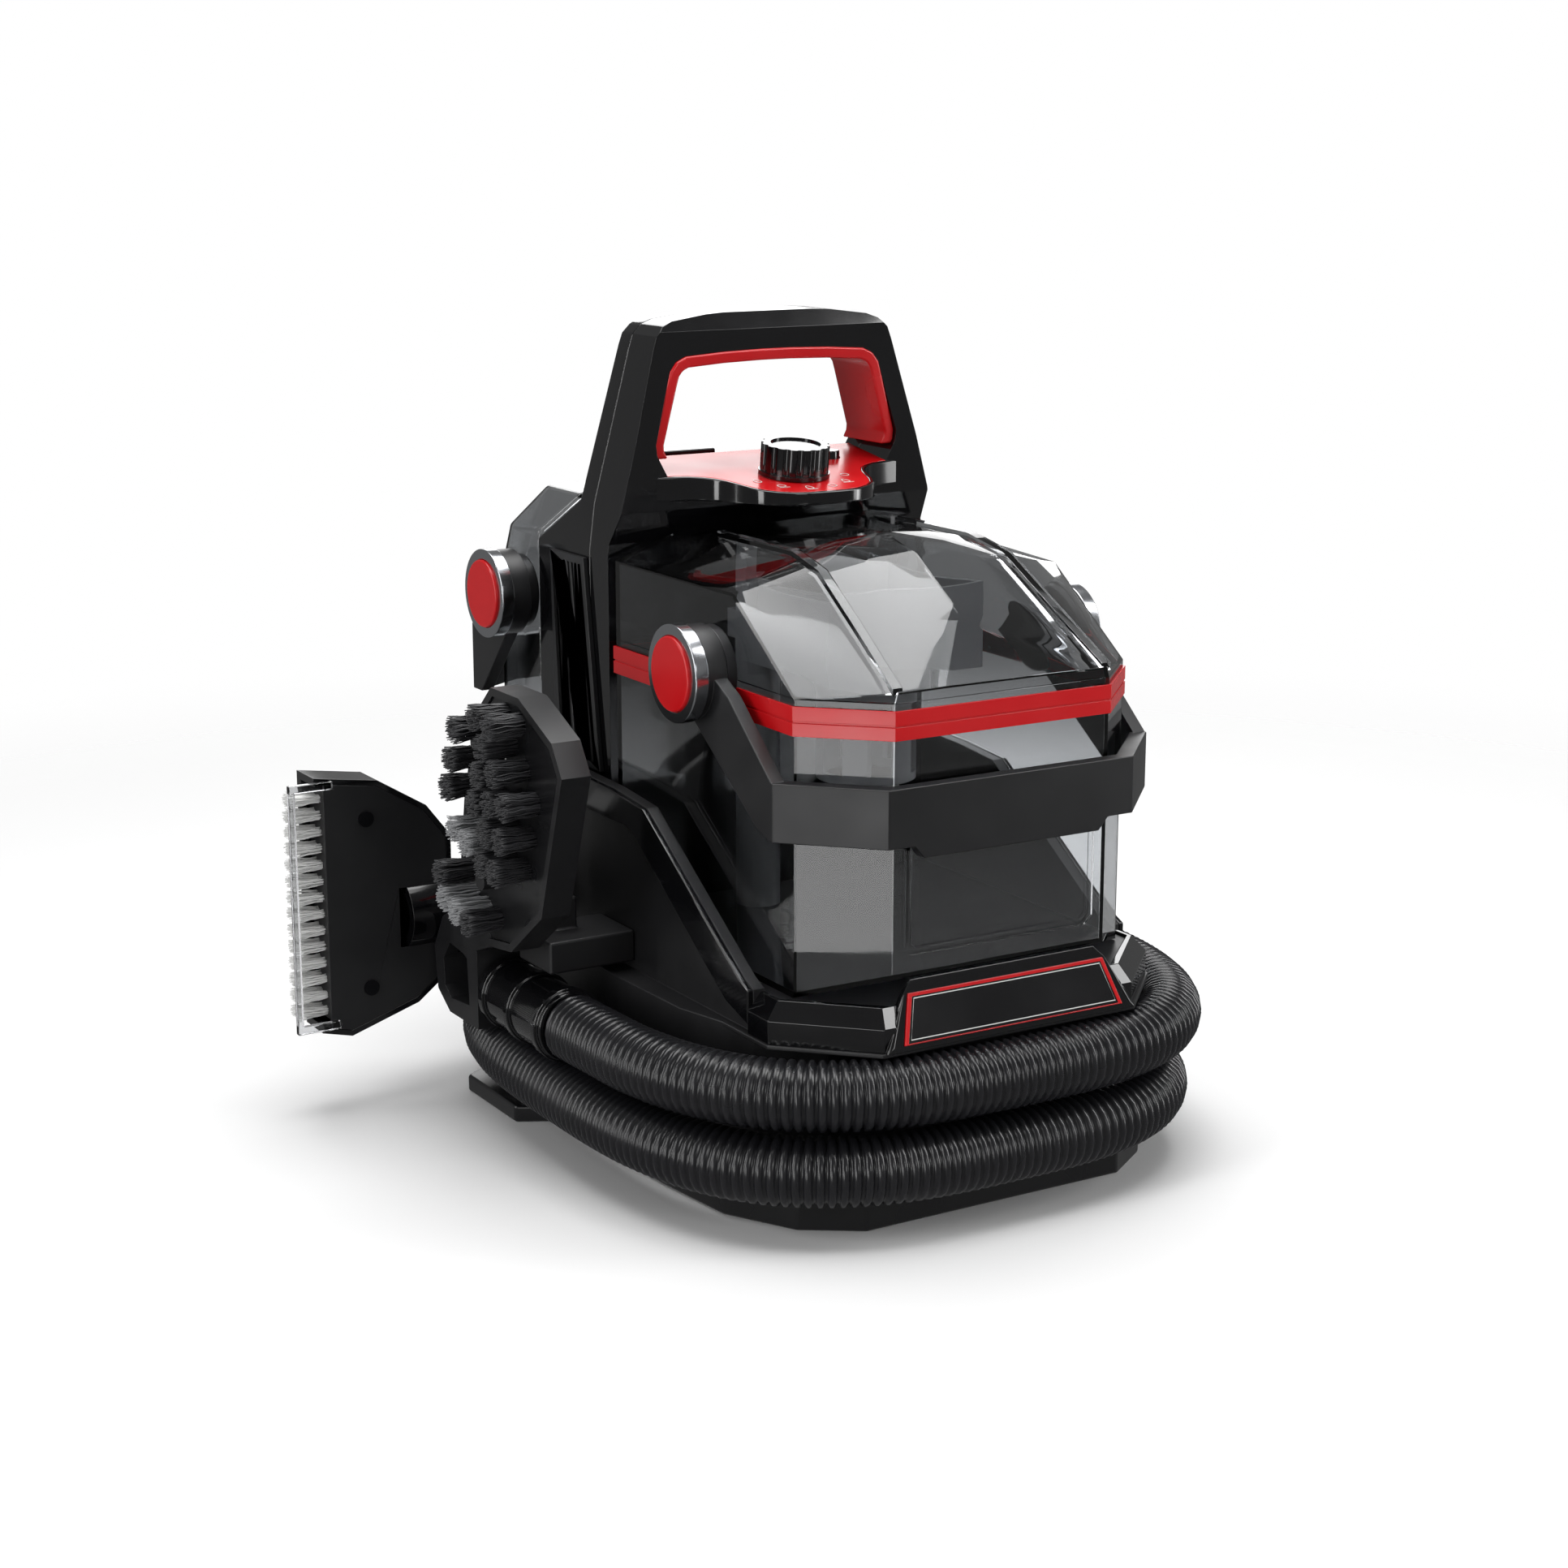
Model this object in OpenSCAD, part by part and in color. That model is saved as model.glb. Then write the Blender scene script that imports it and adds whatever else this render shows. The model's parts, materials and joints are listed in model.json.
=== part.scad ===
// Portable spot carpet cleaner: base with wrapped hose, tower with carry handle, two clear tanks.
// Front is -Y, up is +Z, millimetres; the origin is on the floor under the middle of the base.

/* [Overall] */
// Height of the handle crown above the floor
handle_top_z = 401; // [390:1:415]
// Half width of the two clear tanks
tank_hw = 91; // [86:1:96]
// Height of the tank lids' sides
lid_side_z = 283; // [276:1:286]
// Wall of the clear tanks
tank_wall = 2.5; // [2:0.1:3]

/* [Hose] */
// Radius over the corrugations
hose_r = 16.5; // [14:0.5:17]
// Half width of the loop, to the hose centre
hose_hw = 145; // [143:1:150]
// Height of the upper loop's centre
hose_high_z = 69; // [68.5:0.5:72]
// Height of the lower loop's centre
hose_low_z = 33.5; // [33:0.5:34]

/* [Controls] */
// Dial radius
dial_r = 17; // [13:0.5:20]
// Dial height
dial_h = 15; // [11:0.5:17]
// Steam button radius
button_r = 6; // [4:0.5:8]

/* [Tools] */
// Length of the brush tool's tufts
tuft_len = 20; // [12:1:26]
// Tufts in each row of the wide tool
wide_tufts = 14; // [8:1:16]
// Wide tool neck radius
neck_r = 19; // [17:0.5:22]

/* [Hidden] */
$fn = 48;

black = [0.04, 0.04, 0.045];
satin = [0.09, 0.09, 0.095];
red = [0.78, 0.08, 0.09];
clear = [0.75, 0.78, 0.8, 0.35];
grey = [0.5, 0.5, 0.52];

tray_z = 15;
wall_top_z = 88;
deck_z = 105.7;
tank_floor_z = 106;
tank_front_y = -150;
tank_rear_y = 50;
front_flat_hw = 58.5;
front_corner_y = -118;
split_z = 244;
ridge_hw = 50;
ridge_z = 297;
lift_slope = 0.364;
wing_in_x = 98;
wing_out_x = 104;
tower_hw = 92;
tower_wall = 4;
tower_front_y = 56;
tower_rear_y = 133;
seam_y = 75;
bail_in_x = 97;
bail_out_x = 104;
hub_r = 21;
pin_r = 12;
cap_ring_r = 23;
cap_r = 17.5;
front_hub = [-48, 246];
rear_hub = [153, 254];
rear_floor_z = 182;
rear_deck_z = 169.7;
rear_back_y = 195;
panel_tilt = 7;
dial_y = 32.6;
bezel_floor_z = 310.5;
panel_floor_z = 313.5;
dock_face_x = -150;
cuff_z = hose_high_z;
cuff_x = -hose_hw - 1;
cuff_front_y = -3;

// A side-view outline (y, z) pushed along X from x0 to x1.
module along_x(x0, x1) {
    translate([x0, 0, 0]) rotate([90, 0, 90]) linear_extrude(x1 - x0) children();
}

// A front-view outline (x, z) pushed along Y from y0 to y1.
module along_y(y0, y1) {
    translate([0, y1, 0]) rotate([90, 0, 0]) linear_extrude(y1 - y0) children();
}

module rod_x(x0, x1, y, z, r) {
    translate([x0, y, z]) rotate([0, 90, 0]) cylinder(h = x1 - x0, r = r);
}

module rod_y(y0, y1, x, z, r) {
    translate([x, y1, z]) rotate([90, 0, 0]) cylinder(h = y1 - y0, r = r);
}

module box(lo, hi) {
    translate(lo) cube(hi - lo);
}

module both_sides() {
    children();
    mirror([1, 0, 0]) children();
}

function mirrored(half) = concat(half, [for (i = [len(half) - 1:-1:0]) [-half[i][0], half[i][1]]]);

// ---- base ----

function tray_half() = [[71, -150], [98, -132], [117, -98], [123, -50], [126, 20], [130, 62],
    [128, 140], [104, 160], [60, 166]];
function wall_half() = [[46, -145], [80, -130], [103, -102], [115, -55], [117, 0], [115, 60],
    [103, 112], [86, 136], [64, 150], [45, 155]];

module base_tray() color(black) difference() {
    union() {
        linear_extrude(tray_z) polygon(mirrored(tray_half()));
        both_sides() linear_extrude(9) polygon([[120, 48], [146, 62], [146, 118], [120, 134]]);
    }
    translate([0, 0, -1]) linear_extrude(tray_z - 2) offset(delta = -5)
        polygon(mirrored(tray_half()));
}

module rubber_feet() color(satin) for (x = [-85, 85], y = [-110, 130])
    translate([x, y, 0]) cylinder(h = tray_z - 3, r = 9);

module base_shell() color(satin) {
    difference() {
        translate([0, 0, tray_z]) linear_extrude(wall_top_z - tray_z) polygon(mirrored(wall_half()));
        translate([0, 0, tray_z - 1]) linear_extrude(wall_top_z - tray_z - 2)
            offset(delta = -3) polygon(mirrored(wall_half()));
        box([-86, -105, wall_top_z - 5], [86, 126, wall_top_z + 1]);
    }
    translate([0, 0, wall_top_z - 2.1]) linear_extrude(2.1) difference() {
        polygon(mirrored([[60, -161], [70, -161], [108, -123], [108, -60], [60, -60]]));
        square([172, 210], center = true);
    }
    both_sides() along_x(wing_in_x, wing_out_x) polygon([[158, wall_top_z], [176, 91], [190, 102],
        [190, 172], [134, 178], [29, 175], [-4, 172], [-96, 112], [-104, 108.5], [-104, wall_top_z]]);
    difference() {
        along_x(-wing_in_x, wing_in_x) polygon([[tower_rear_y + 0.3, wall_top_z], [158, wall_top_z],
            [176, 91], [190, 102], [190, rear_deck_z], [tower_rear_y + 0.3, rear_deck_z]]);
        along_x(-wing_in_x + 4, wing_in_x - 4) polygon([[tower_rear_y - 1, wall_top_z - 1],
            [156, wall_top_z - 1], [157, 92], [175, 95], [186, 104], [186, rear_deck_z - 4],
            [tower_rear_y - 1, rear_deck_z - 4]]);
    }
}

module tank_deck() color(satin) difference() {
    translate([0, 0, wall_top_z]) linear_extrude(deck_z - wall_top_z)
        polygon([[-wing_in_x, tower_front_y], [-wing_in_x, -118], [-62, -152], [62, -152],
            [wing_in_x, -118], [wing_in_x, tower_front_y]]);
    box([-90, -105, wall_top_z - 1], [90, 50, deck_z - 4]);
}

module cradle_rim() color(black) both_sides() along_x(wing_out_x, wing_out_x + 3)
    polygon([[190, 157], [190, 172], [134, 178], [29, 175], [-4, 172], [-96, 112],
        [-104, 108.5], [-104, 92], [-84, 98], [-76, 103], [3, 156], [14, 160]]);

// The bumper's right corner seen from above, drawn in by inset for its bevelled top.
module corner_outline(inset) polygon([[58, -150], [58, -160 + inset], [69 - inset * 0.4, -160 + inset],
    [107 - inset, -122 + inset * 0.4], [107 - inset, -104], [90, -104]]);

// Gloss bumper that wraps the tank's front corners, with the sloped pod in its middle.
module front_bumper() color(black) {
    translate([0, 0, wall_top_z]) both_sides() difference() {
        hull() {
            linear_extrude(11) corner_outline(0);
            linear_extrude(19) corner_outline(7);
        }
        translate([0, 0, -1]) linear_extrude(30)
            polygon([[50, -152], [62, -152], [wing_in_x, -118], [wing_in_x, -90], [50, -90]]);
    }
    hull() {
        along_y(-152.8, -152) polygon([[-66, 88], [66, 88], [51, 117.8], [-51, 117.8]]);
        along_y(-155.18, -152) polygon([[-66, 88], [66, 88], [56, 112.7], [-56, 112.7]]);
        along_y(-163, -162) polygon([[-69, 88], [69, 88], [66, 91], [-66, 91]]);
    }
}

module plate_border() color(red) difference() {
    intersection() {
        pod_skin(1);
        along_y(-170, -150) polygon([[-61, 90], [61, 90], [54.2, 112.6], [-54.2, 112.6]]);
    }
    along_y(-170, -150) polygon([[-58.5, 91.8], [58.5, 91.8], [52.5, 111.2], [-52.5, 111.2]]);
}

module name_plate() color(satin) intersection() {
    pod_skin(0.8);
    along_y(-170, -150) polygon([[-58.5, 91.8], [58.5, 91.8], [52.5, 111.2], [-52.5, 111.2]]);
}

// A thin slab lying on the pod's sloped face.
module pod_skin(t) {
    along_x(-70, 70) polygon([[-163, 91], [-154, 116], [-154 - t * 0.94, 116 + t * 0.34],
        [-163 - t * 0.94, 91 + t * 0.34]]);
}

// ---- tower and handle ----

module tower_front_view() polygon(mirrored([[tower_hw, wall_top_z], [tower_hw, 285], [89, 308],
    [68.5, handle_top_z - 17], [66.5, handle_top_z - 11], [62, handle_top_z - 6.5],
    [56, handle_top_z - 4.2], [36, handle_top_z - 1.6], [12, handle_top_z - 0.2]]));

module tower_side_view() polygon([[tower_front_y, wall_top_z], [tower_front_y, 290], [46.5, 306],
    [46.5, 335], [51, handle_top_z - 9], [57, handle_top_z - 1], [80, handle_top_z + 1],
    [87, handle_top_z - 6], [91, 308], [tower_rear_y, 284], [tower_rear_y, wall_top_z]]);

module window_view(grow) offset(delta = grow) polygon(mirrored([[62, 320], [69, 333],
    [69.5, 338], [61.5, handle_top_z - 33], [60, handle_top_z - 28], [56.5, handle_top_z - 23.5],
    [51, handle_top_z - 21], [30, handle_top_z - 19.6], [8, handle_top_z - 19]]));

module tower_solid() difference() {
    intersection() {
        along_y(40, 140) tower_front_view();
        along_x(-100, 100) tower_side_view();
    }
    along_y(30, 150) window_view(0);
}

// The room inside the two shells, open at the bottom.
module tower_core() difference() {
    intersection() {
        along_y(40, 140) offset(delta = -tower_wall) tower_front_view();
        along_x(-100, 100) offset(delta = -tower_wall) tower_side_view();
    }
    along_y(30, 150) window_view(tower_wall);
}

module tower_front_shell() color(black) difference() {
    tower_solid();
    box([-100, seam_y, 0], [100, 200, 500]);
    tower_core();
    box([-88, tower_front_y + 4, wall_top_z - 1], [88, seam_y + 1, 110]);
}

module tower_rear_shell() color(black) {
    difference() {
        tower_solid();
        box([-100, 0, 0], [100, seam_y, 500]);
        tower_core();
        box([-88, seam_y - 1, wall_top_z - 1], [88, tower_rear_y - 4, 110]);
    }
    box([-45, seam_y, 122], [45, tower_rear_y - 4, 126]);
    box([-36, 107, 290], [-2, 118, 327]);
}

module handle_liner() color(red) difference() {
    along_y(48.5, 86) difference() {
        window_view(0);
        window_view(-5.5);
    }
    box([-80, 40, 300], [80, 90, 331]);
}

function lobe_half() = [[10, 0.3], [18, 1.8], [25, 5.2], [30, 10], [33.5, 16.5], [36, 24],
    [38.5, 31], [42, 37], [47, 41.5], [53, 44.8], [60, 46.5]];

module under_panel_plane(lift) along_x(-90, 90)
    polygon([[-20, 300], [100, 300], [100, 321 + lift + 67.4 * tan(panel_tilt)],
        [-20, 321 + lift - 52.6 * tan(panel_tilt)]]);

module control_bezel() color(black) difference() {
    intersection() {
        translate([0, 0, bezel_floor_z]) linear_extrude(30) difference() {
            offset(delta = 2.4) polygon(mirrored(lobe_half()));
            translate([-90, 46.5]) square([180, 20]);
        }
        under_panel_plane(0);
    }
    translate([0, 0, panel_floor_z]) linear_extrude(30) polygon(mirrored(lobe_half()));
}

module control_panel() color(red) difference() {
    intersection() {
        union() {
            translate([0, 0, panel_floor_z]) linear_extrude(30) polygon(mirrored(lobe_half()));
            box([-70, 46.5, 320], [70, 86, 335]);
        }
        under_panel_plane(0);
    }
    translate([0, dial_y, 321]) rotate([panel_tilt, 0, 0]) cylinder(h = 20, r = 4.5, center = true);
    translate([38, 62, 300]) cylinder(h = 60, r = button_r + 0.4);
    along_y(46, 87) difference() {
        translate([-80, 315]) square([160, 30]);
        window_view(-0.05);
    }
}

module at_dial() translate([0, dial_y, 321]) rotate([panel_tilt, 0, 0]) children();

module control_dial() color(black) at_dial() difference() {
    union() {
        translate([0, 0, 1]) cylinder(h = dial_h, r = dial_r);
        translate([0, 0, 0.5]) cylinder(h = 2, r = dial_r + 0.8);
    }
    for (i = [0:15]) rotate([0, 0, i * 22.5]) translate([dial_r + 1.1, 0, 3])
        cylinder(h = dial_h, r = 2.2, $fn = 16);
    translate([0, 0, dial_h]) cylinder(h = 3, r = dial_r - 4.5);
}

module dial_stem() color(grey) at_dial() translate([0, 0, -6]) cylinder(h = 6.5, r = 4);

module steam_button() color(black) translate([38, 62, 322.5]) cylinder(h = 5.5, r = button_r);

module vent_panel_left() color(satin) difference() {
    along_x(-tower_hw - 2.5, -tower_hw) polygon([[115, 281], [78, 281], [63, 175], [111, 175]]);
    for (i = [0:7]) along_x(-tower_hw - 3.5, -tower_hw - 1)
        polygon([[81.5 + i * 4.1, 277], [83.4 + i * 4.1, 277], [69.4 + i * 5.1, 179],
            [67.2 + i * 5.1, 179]]);
}

module vent_panel_right() mirror([1, 0, 0]) vent_panel_left();

// ---- inside the housing ----

module vacuum_motor() color(grey) difference() {
    union() {
        translate([0, 97, 126]) cylinder(h = 74, r = 29.5);
        translate([0, 97, 126]) cylinder(h = 6, r = 31);
    }
    translate([0, 97, 170]) cylinder(h = 40, r = 3.4);
}

module fan_housing() color(satin) difference() {
    translate([0, 97, 200]) cylinder(h = 28, r = 31);
    translate([0, 97, 203]) cylinder(h = 22, r = 28.5);
    translate([0, 97, 199]) cylinder(h = 5, r = 3.4);
    translate([0, 97, 224]) cylinder(h = 5, r = 12);
}

module impeller() color(grey) translate([0, 97, 0]) {
    translate([0, 0, 172]) cylinder(h = 34, r = 3);
    translate([0, 0, 206]) cylinder(h = 3, r = 27);
    for (i = [0:7]) rotate([0, 0, i * 45]) translate([5, -1, 208.5]) cube([21, 2, 11.5]);
    translate([0, 0, 209]) cylinder(h = 12, r = 6);
}

module water_pump() color(grey) {
    box([-20, 60, tray_z], [30, 110, 58]);
    rod_x(30, 52, 85, 38, 16);
}

module steam_heater() color(grey) {
    box([-80, -60, tray_z], [20, -10, 28]);
    rod_x(-76, 16, -35, 46, 18.2);
}

module circuit_board() color([0.05, 0.3, 0.15]) {
    box([-60, 60, 215], [60, 61.6, 285]);
    for (x = [-40, -10, 20]) box([x, 61.6, 230], [x + 18, 68, 262]);
}

module suction_pipe() color(satin) difference() {
    translate([66, 97, tray_z]) cylinder(h = 245, r = 14);
    translate([66, 97, tray_z + 3]) cylinder(h = 250, r = 12);
}

module cord_gland() color(black) {
    rod_y(190, 198, -50, 125, 9);
    rod_y(198, 202, -50, 125, 6);
}

// ---- hose ----

loop_n = 3;
loop_mid_y = 5.5;
loop_half_len = 170.5;
start_turn = 182.6;
end_turn = 801;
hose_rings = 72;
hose_sides = 10;
hose_wall = 2.5;
low_shift = 4;

function spread(v) = sign(v) * pow(abs(v), 2 / loop_n);
function drop(a) = a < 450 ? 0 : a > 510 ? 1 : (1 - cos((a - 450) * 3)) / 2;
function route(a) = [(hose_hw - low_shift * drop(a)) * spread(cos(a)) - low_shift * drop(a),
    loop_mid_y + loop_half_len * spread(sin(a)),
    hose_high_z + (hose_low_z - hose_high_z) * drop(a)];
function hose_point(i) = i == 0 ? [-hose_hw, cuff_front_y, hose_high_z]
    : i == hose_rings - 1 ? [56, 173.5, hose_low_z]
    : route(192 + (i - 1) * (788 - 192) / (hose_rings - 3));
function hose_dir(i) = i == 0 ? [0, -1, 0] : i == hose_rings - 1 ? [-1, 0, 0]
    : let (d = hose_point(min(i + 1, hose_rings - 1)) - hose_point(i - 1)) d / norm(d);
function hose_ring(i, r) = let (t = hose_dir(i), s = cross(t, [0, 0, 1]), u = s / norm(s),
    w = cross(u, t)) [for (k = [0:hose_sides - 1])
        hose_point(i) + r * (cos(k * 360 / hose_sides) * u + sin(k * 360 / hose_sides) * w)];

// Rings of the outer surface come first, then those of the bore.
module hose() color(satin) let (n = hose_sides, bore = hose_rings * n) polyhedron(
    points = concat([for (i = [0:hose_rings - 1]) each hose_ring(i, hose_r)],
        [for (i = [0:hose_rings - 1]) each hose_ring(i, hose_r - hose_wall)]),
    faces = [for (k = [0:n - 1]) let (j = (k + 1) % n, last = (hose_rings - 1) * n)
        each concat([[k, j, bore + j, bore + k],
            [last + j, last + k, bore + last + k, bore + last + j]],
            [for (i = [0:hose_rings - 2]) let (a = i * n + k, b = i * n + j)
                each [[a, a + n, b + n, b],
                    [bore + b, bore + b + n, bore + a + n, bore + a]]])]);

module hose_inlet_elbow() color(black) difference() {
    union() {
        rod_x(26, 56, 173.5, hose_low_z, 17.3);
        box([28, 155, 20], [50, 172, 48]);
    }
    rod_x(29, 57, 173.5, hose_low_z, 14);
}

// ---- spray grip and brush tool, docked on the left ----

module hose_cuff() color(black) difference() {
    union() {
        rod_y(cuff_front_y, 66, cuff_x, cuff_z, 17);
        for (y = [cuff_front_y + 3, 30, 58]) rod_y(y, y + 5, cuff_x, cuff_z, 18.5);
    }
    rod_y(cuff_front_y - 1, 63, cuff_x, cuff_z, 14);
}

module grip_shell() color(satin) difference() {
    along_x(-163, -136) polygon([[66, 51], [100, 51], [114, 60], [117, 82], [106, 100], [84, 112],
        [52, 116], [45, 100], [66, 92]]);
    along_x(-170, -130) polygon([[76, 61], [98, 59], [105, 64], [106, 78], [98, 88], [78, 86]]);
    difference() {
        rod_x(-156, -143, 103, 86, 6);
        rod_x(-157, -142, 103, 86, 1.5);
    }
}

module spray_trigger() color(black) difference() {
    union() {
        rod_x(-155, -144, 103, 86, 4.5);
        along_x(-155, -144) polygon([[104, 82], [97, 79], [82, 77.5], [81, 81], [95, 83], [101, 89]]);
    }
    rod_x(-157, -142, 103, 86, 1.9);
}

slot_at = [37.2, 189.1];

function tool_outline() = [[8, 230], [-26, 215], [-36, 200], [-12, 128], [22, 103], [52, 99],
    [80, 120], [71, 170], [56, 214], [38, 230]];

function grip_notch() = [[45, 100], [52, 116], [84, 112], [106, 100], [60, 90]];

module brush_tool_body() color(satin) {
    difference() {
        along_x(-165, -150) difference() {
            polygon(tool_outline());
            polygon(grip_notch());
        }
        along_x(-170, -162) offset(delta = -4) polygon(tool_outline());
    }
}

module brush_tool_plate() color(black) difference() {
    along_x(-164, -162) offset(delta = -4) polygon(tool_outline());
    along_x(-170, -160) polygon(grip_notch());
    along_x(-170, -160) translate(slot_at) rotate(18) square([9, 34], center = true);
}

module slot_gasket() color([0.85, 0.85, 0.83]) along_x(-167, -164)
    translate(slot_at) rotate(18) difference() {
        square([14, 40], center = true);
        square([9, 35], center = true);
    }

// Tuft centres, measured along and across the tool's leaning axis.
dark_tufts = [[37.8, 40], [38.5, 24], [38.5, 8], [8.5, 46], [9, 31], [9, 16], [-6, 40], [-6, 24],
    [-6, 8], [-20, 30], [-21, 12], [-20, -6], [19, 56.5], [4, 59.5], [-7, -9], [34.5, -38], [0, -46]];
light_tufts = [[26, -8], [12, -8], [27, -48], [13, -47.5]];

module tufts(list) for (t = list)
    translate([-164, 22, 160]) rotate([18, 0, 0]) translate([0, t[0], t[1]])
        rotate([0, -90, 0]) cylinder(h = tuft_len, r = 6, $fn = 12);

module brush_tufts_dark() color(satin) tufts(dark_tufts);

module brush_tufts_light() color(grey) tufts(light_tufts);

module spray_nozzle() color(black) translate([-164, 22, 160]) rotate([18, 0, 0])
    translate([0, 10, -29]) rotate([0, -90, 0]) cylinder(h = 8, r = 5);

module tool_dock() color(satin) {
    box([dock_face_x, 10, 92], [-wing_out_x, 44.7, 108]);
    box([-138, 28, 108], [-126, 42, 124]);
}

module wide_tool_peg() color(satin) {
    difference() {
        box([-132, 119, wall_top_z + 0.3], [-wing_out_x, 145, 112]);
        rod_x(-133, -120, 131, 98, 6);
    }
    rod_x(-158, -132, 131, 98, 13);
}

// ---- wide tool, parked on its peg at the left rear ----

function fan_outline() = [[-151, 74], [-157, 63], [-171, 52], [-208, 40], [-224, 44], [-224, 176],
    [-190, 171], [-164, 155], [-151, 138]];

module wide_tool_shell() color(black) {
    difference() {
        union() {
            along_y(120, 142) polygon(fan_outline());
            rod_x(-176, -140, 131, 98, neck_r);
        }
        along_y(118, 139) offset(delta = -3) polygon(fan_outline());
        rod_x(-180, -139, 131, 98, 13.4);
        box([-230, 119, 48], [-220, 137, 172]);
    }
    difference() {
        rod_x(-176, -150, 131, 98, neck_r);
        rod_x(-180, -139, 131, 98, 13.4);
    }
}

module wide_tool_panel() color(satin) difference() {
    union() {
        along_y(120, 122) offset(delta = -3) polygon(fan_outline());
        box([-219, 121, 50], [-213, 139, 168]);
    }
    rod_x(-180, -139, 131, 98, neck_r);
    box([-230, 110, 40], [-219, 130, 180]);
    for (z = [64, 152]) rod_y(110, 130, -197, z, 3);
}

module wide_tool_screws() color(grey) for (z = [64, 152]) {
    rod_y(118.8, 120, -197, z, 4);
    rod_y(120, 138.9, -197, z, 2.9);
}

module wide_tool_tufts() color([0.9, 0.9, 0.88]) for (i = [0:wide_tufts - 1], y = [126, 133])
    translate([-219, y, 54 + i * 110 / (wide_tufts - 1)]) rotate([0, -90, 0])
        cylinder(h = 16, r = 2.6, $fn = 10);

// A clear frame round the bristles: its front edge, and an arm to the shell above and below them.
module wide_tool_lip() color(clear) difference() {
    box([-238, 116.5, 46], [-215, 120, 174]);
    box([-235, 115, 50], [-210, 121, 170]);
}

// ---- front tank ----

module tank_outline(inset) offset(delta = -inset) polygon(mirrored([[front_flat_hw, tank_front_y],
    [tank_hw, front_corner_y], [tank_hw, tank_rear_y]]));

module above_lift_line(drop_z) along_x(-100, 100) polygon([[-160, 300], [-160, 122 - drop_z],
    [-150, 118 - drop_z], [-150 + 12 / lift_slope, 106 - drop_z], [60, 106 - drop_z], [60, 300]]);

module front_bucket() color(clear) difference() {
    intersection() {
        translate([0, 0, tank_floor_z]) linear_extrude(split_z - tank_floor_z) tank_outline(0);
        above_lift_line(0);
    }
    intersection() {
        translate([0, 0, tank_floor_z + tank_wall]) linear_extrude(200) tank_outline(tank_wall);
        above_lift_line(-tank_wall);
    }
    along_y(-152, tank_front_y + 1) difference() {
        polygon([[-52, 132], [-48, 128], [48, 128], [52, 132], [52, 192],
            [48, 196], [-48, 196], [-52, 192]]);
        polygon([[-49, 133.5], [-46.5, 131], [46.5, 131], [49, 133.5], [49, 190.5], [46.5, 193],
            [-46.5, 193], [-49, 190.5]]);
    }
}

// Rows of the lid's crown from the rear forwards: half width, y, height at the rails, arch.
function crown_rows() = [[ridge_hw, tank_rear_y, ridge_z, 4], [ridge_hw, -50, ridge_z, 6],
    [ridge_hw + 1.5, -78, ridge_z - 6, 5.5], [ridge_hw + 4, -114, ridge_z - 27, 4],
    [ridge_hw + 7, tank_front_y, split_z + 5, 0.5]];

function lid_points(i) = let (hw = tank_hw - i, fw = front_flat_hw - i * 0.4, f = tank_front_y + i,
    r = tank_rear_y - i, c = front_corner_y + i * 0.4, s = lid_side_z - i * 0.5,
    b = split_z - i * 0.5) concat(
        [for (m = [-1, 1]) each [[m * fw, f, b], [m * hw, c, b], [m * hw, r, b], [m * hw, -62, s],
            [m * hw, r, s]]],
        [for (p = crown_rows(), u = [-1, -0.5, 0, 0.5, 1]) [u * (p[0] - i * 0.4),
            min(max(p[1], f), r), p[2] - i * (p[1] > tank_front_y ? 1 : 0.5) + p[3] * (1 - u * u)]]);

// A raised rib that follows the crown's edge: one square section moved from row to row.
module rail(side) let (rows = concat([[ridge_hw, 17, ridge_z]], [for (k = [1:4]) crown_rows()[k]]))
    polyhedron(
        points = [for (p = rows, c = [[-2.5, -1.5], [2.5, -1.5], [2.5, 2], [-2.5, 2]])
            [side * p[0] + c[0], max(p[1], tank_front_y + 0.5), p[2] + c[1]]],
        faces = concat([[0, 1, 2, 3], [19, 18, 17, 16]], [for (i = [0:3], k = [0:3])
            let (a = i * 4 + k, b = i * 4 + (k + 1) % 4) [a, a + 4, b + 4, b]]));

// The lid steps down under the control panel, so that the tank can be lifted out forwards.
module lid_notch(grow) along_x(-58 - grow, 58 + grow) polygon([[18 - grow, 301.5 - grow],
    [18 - grow, 310], [60, 310], [60, 286.2 - grow]]);

module front_lid() color(clear) difference() {
    union() {
        hull() for (p = lid_points(0)) translate(p) cube([0.01, 0.01, 0.01], center = true);
        rail(-1);
        rail(1);
    }
    difference() {
        hull() for (p = lid_points(tank_wall)) translate(p)
            cube([0.01, 0.01, 0.01], center = true);
        lid_notch(tank_wall);
    }
    box([-100, -160, split_z - 10], [100, 60, split_z]);
    box([-100, tank_rear_y, 200], [100, 80, 320]);
    lid_notch(0);
}

module seal_band() color(red) difference() {
    translate([0, 0, 227.5]) linear_extrude(13.5) difference() {
        tank_outline(-1.2);
        tank_outline(0);
    }
    translate([0, 0, 233.6]) linear_extrude(0.9) difference() {
        tank_outline(-3);
        tank_outline(-0.7);
    }
    rod_x(-120, 120, front_hub[0], front_hub[1], hub_r + 0.5);
    box([-30, tank_rear_y - 0.5, 220], [30, tank_rear_y + 5, 250]);
}

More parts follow.
